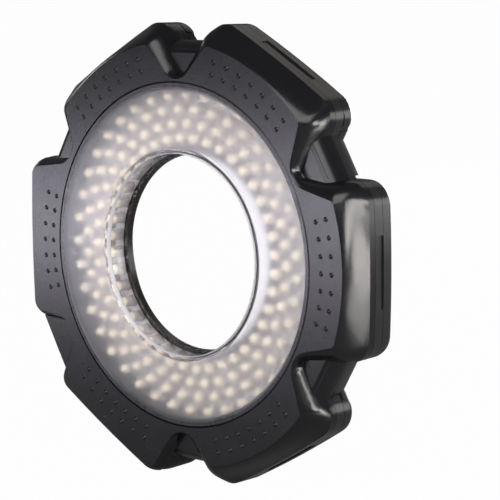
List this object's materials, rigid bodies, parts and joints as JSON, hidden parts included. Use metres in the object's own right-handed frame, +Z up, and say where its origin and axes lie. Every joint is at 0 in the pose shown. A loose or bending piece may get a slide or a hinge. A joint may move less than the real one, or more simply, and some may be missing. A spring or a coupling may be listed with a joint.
{
  "type": "macro ring light",
  "caption": "Battery ring light for close-up photography: lobed housing round a lens opening, LED ring behind a clear diffuser, hinged battery doors and a dimmer pod.",
  "frame": {"origin": "centre of the lens opening, on the face that the lens adapter seats on", "axes": "+Y along the lens axis towards the camera, so the light faces -Y; +Z up, with one battery lobe along +X"},
  "size_m": [0.1934, 0.0265, 0.196],
  "materials": {
    "front_plastic": "satin black moulding",
    "rear_plastic": "glossier black moulding",
    "door_plastic": "glossier black moulding",
    "clear_plastic": "slightly frosted clear plastic",
    "bezel_plastic": "satin dark grey",
    "collar_plastic": "matte black",
    "board_white": "pale solder mask",
    "board_green": "green solder mask",
    "led_clear": "clear warm white resin",
    "copper_wire": "enamelled copper",
    "capacitor_can": "bare can",
    "chip_black": "moulded package",
    "contact_steel": "nickel plated",
    "pin_steel": "bright",
    "screw_black": "blackened",
    "screw_steel": "zinc plated",
    "cell_sleeve": "plain blue-black sleeve",
    "control_plastic": "matte black",
    "component_plastic": "moulded black"
  },
  "bodies": {
    "housing": {"battery_1": "cell_sleeve", "battery_2": "cell_sleeve", "battery_3": "cell_sleeve", "battery_4": "cell_sleeve", "battery_5": "cell_sleeve", "battery_6": "cell_sleeve", "bezel_ring": "bezel_plastic", "board_screws": "screw_steel", "case_screws": "screw_black", "contact_plates": "contact_steel", "contact_springs": "contact_steel", "control_board": "board_green", "diffuser": "clear_plastic", "dimmer_potentiometer": "component_plastic", "driver_board": "board_green", "driver_capacitor": "capacitor_can", "driver_chip": "chip_black", "driver_coil": "copper_wire", "front_cover": "front_plastic", "hinge_pins": "pin_steel", "led_board": "board_white", "led_ring_1": "led_clear", "led_ring_2": "led_clear", "led_ring_3": "led_clear", "led_ring_4": "led_clear", "lens_collar": "collar_plastic", "power_socket": "component_plastic", "power_switch_body": "component_plastic", "rear_cover": "rear_plastic"},
    "dimmer": {"dimmer_wheel": "control_plastic"},
    "power_slide": {"power_switch_knob": "control_plastic"},
    "door_1": {"battery_door_1": "door_plastic"},
    "door_2": {"battery_door_2": "door_plastic"},
    "door_3": {"battery_door_3": "door_plastic"},
    "door_4": {"battery_door_4": "door_plastic"},
    "door_5": {"battery_door_5": "door_plastic"},
    "door_6": {"battery_door_6": "door_plastic"}
  },
  "joints": [
    {"name": "door_1_hinge", "type": "hinge", "parent": "housing", "child": "door_1", "pos_m": [0.0822, 0.0044, -0.0346], "axis": [-1, 0, 0], "range_deg": [0, 100]},
    {"name": "door_2_hinge", "type": "hinge", "parent": "housing", "child": "door_2", "pos_m": [0.07106, 0.0044, 0.05389], "axis": [-0.5, 0, -0.866], "range_deg": [0, 100]},
    {"name": "door_3_hinge", "type": "hinge", "parent": "housing", "child": "door_3", "pos_m": [-0.01114, 0.0044, 0.08849], "axis": [0.5, 0, -0.866], "range_deg": [0, 100]},
    {"name": "door_4_hinge", "type": "hinge", "parent": "housing", "child": "door_4", "pos_m": [-0.0822, 0.0044, 0.0346], "axis": [1, 0, 0], "range_deg": [0, 100]},
    {"name": "door_5_hinge", "type": "hinge", "parent": "housing", "child": "door_5", "pos_m": [-0.07106, 0.0044, -0.05389], "axis": [0.5, 0, 0.866], "range_deg": [0, 100]},
    {"name": "door_6_hinge", "type": "hinge", "parent": "housing", "child": "door_6", "pos_m": [0.01114, 0.0044, -0.08849], "axis": [-0.5, 0, 0.866], "range_deg": [0, 100]},
    {"name": "dimmer_turn", "type": "hinge", "parent": "housing", "child": "dimmer", "pos_m": [-0.08133, -0.0104, -0.04234], "axis": [0, 1, 0], "range_deg": [0, 270]},
    {"name": "power_slide_travel", "type": "slide", "parent": "housing", "child": "power_slide", "axis": [0.5, 0, -0.866], "range_m": [0, 0.003]}
  ]
}
